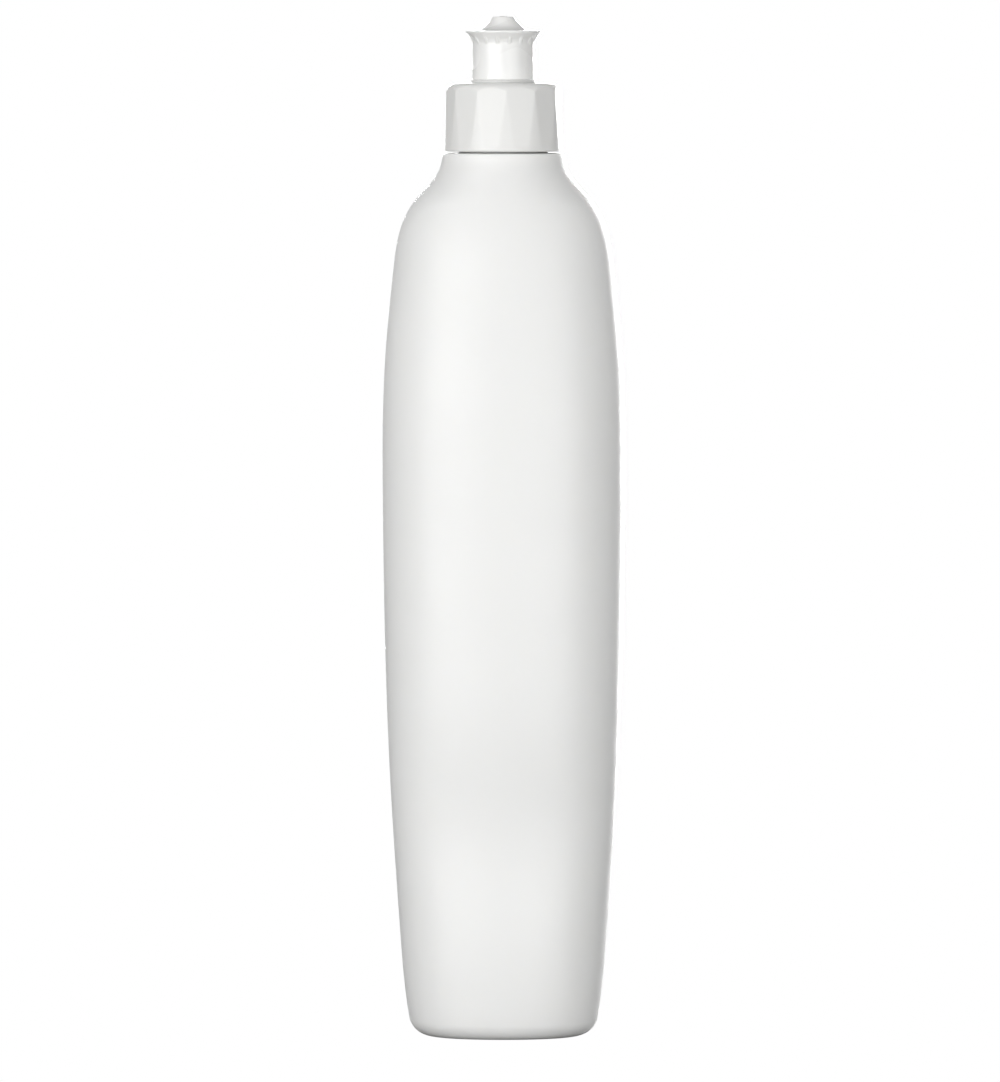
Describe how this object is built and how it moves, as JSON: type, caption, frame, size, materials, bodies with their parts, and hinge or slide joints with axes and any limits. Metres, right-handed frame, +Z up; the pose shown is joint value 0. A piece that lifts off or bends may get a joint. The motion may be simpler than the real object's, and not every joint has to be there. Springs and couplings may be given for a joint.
{
  "type": "dish soap bottle",
  "caption": "Slim oval translucent squeeze bottle with a screw-on faceted closure and a push-pull spout that opens and shuts over a sealing pin.",
  "frame": {"origin": "on the resting face, under the middle of the bottle", "axes": "+Z up along the bottle's axis, +X across the wide front, +Y from the shown side to the far side"},
  "size_m": [0.0686, 0.052, 0.2901],
  "materials": {
    "natural_hdpe": "milky translucent blow-moulded polyethylene with a fine satin texture",
    "white_pp": "opaque white injection-moulded polypropylene, satin",
    "white_pe": "opaque white injection-moulded polyethylene, satin",
    "liner_foam": "white polyethylene foam with a smooth skin"
  },
  "bodies": {
    "bottle": {"bottle": "natural_hdpe"},
    "liner": {"seal_liner": "liner_foam"},
    "closure": {"closure": "white_pp"},
    "spout": {"spout": "white_pe"}
  },
  "joints": [
    {"name": "closure_lift", "type": "slide", "parent": "bottle", "child": "liner", "axis": [0, 0, 1], "range_m": [0, 0.0212]},
    {"name": "closure_unscrew", "type": "hinge", "parent": "liner", "child": "closure", "pos_m": [0, 0, 0.26], "axis": [0, 0, 1], "range_deg": [0, 1800]},
    {"name": "spout_pull", "type": "slide", "parent": "closure", "child": "spout", "axis": [0, 0, 1], "range_m": [0, 0.0055]}
  ],
  "couplings": [
    {"joint": "closure_lift", "follows": "closure_unscrew", "m_per_rad": 0.00067375}
  ]
}
